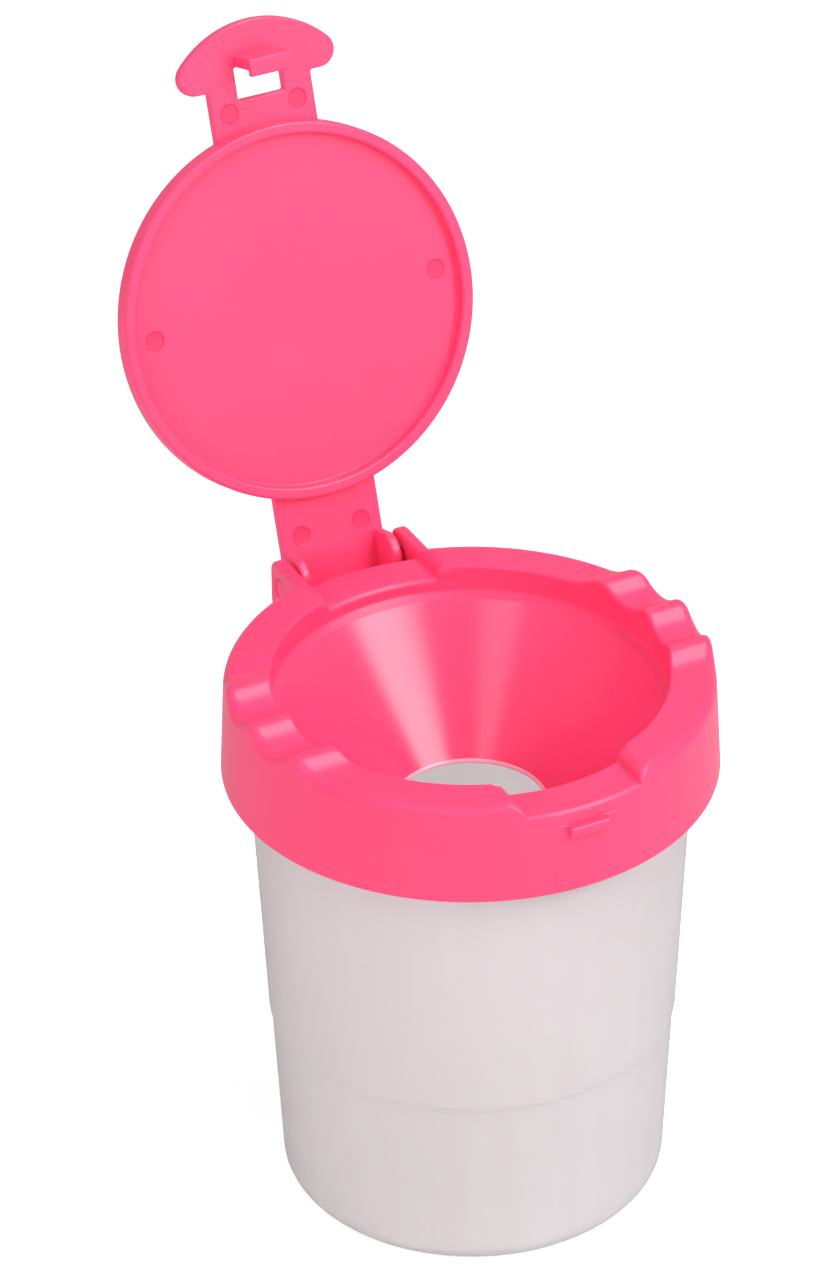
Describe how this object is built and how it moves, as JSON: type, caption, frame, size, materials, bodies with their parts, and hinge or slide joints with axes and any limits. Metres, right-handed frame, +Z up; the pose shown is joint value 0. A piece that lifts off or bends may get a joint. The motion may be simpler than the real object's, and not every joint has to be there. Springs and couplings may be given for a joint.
{
  "type": "paint cup with lid",
  "caption": "Non-spill paint cup: a tapered beaker under a push-on collar with an inner funnel and brush rests, closed by a hinged cover with a finger grip and latch.",
  "frame": {"origin": "centre of the face the cup stands on", "axes": "+Z up along the cup's axis, -Y towards the latch at the front, +Y towards the hinge at the back, +X along the hinge axis"},
  "size_m": [0.0842, 0.1235, 0.1856],
  "materials": {
    "natural_plastic": "natural polypropylene, milky, satin",
    "pink_plastic": "pink polypropylene, as moulded, semi-gloss"
  },
  "bodies": {
    "cup": {"cup": "natural_plastic"},
    "lid": {"collar_lid": "pink_plastic"},
    "cover": {"hinged_cover": "pink_plastic"}
  },
  "joints": [
    {"name": "lid_lift", "type": "slide", "parent": "cup", "child": "lid", "axis": [0, 0, 1], "range_m": [0, 0.03]},
    {"name": "cover_hinge", "type": "hinge", "parent": "lid", "child": "cover", "pos_m": [0, 0.0463, 0.0936], "axis": [1, 0, 0], "range_deg": [0, 107.6]}
  ]
}
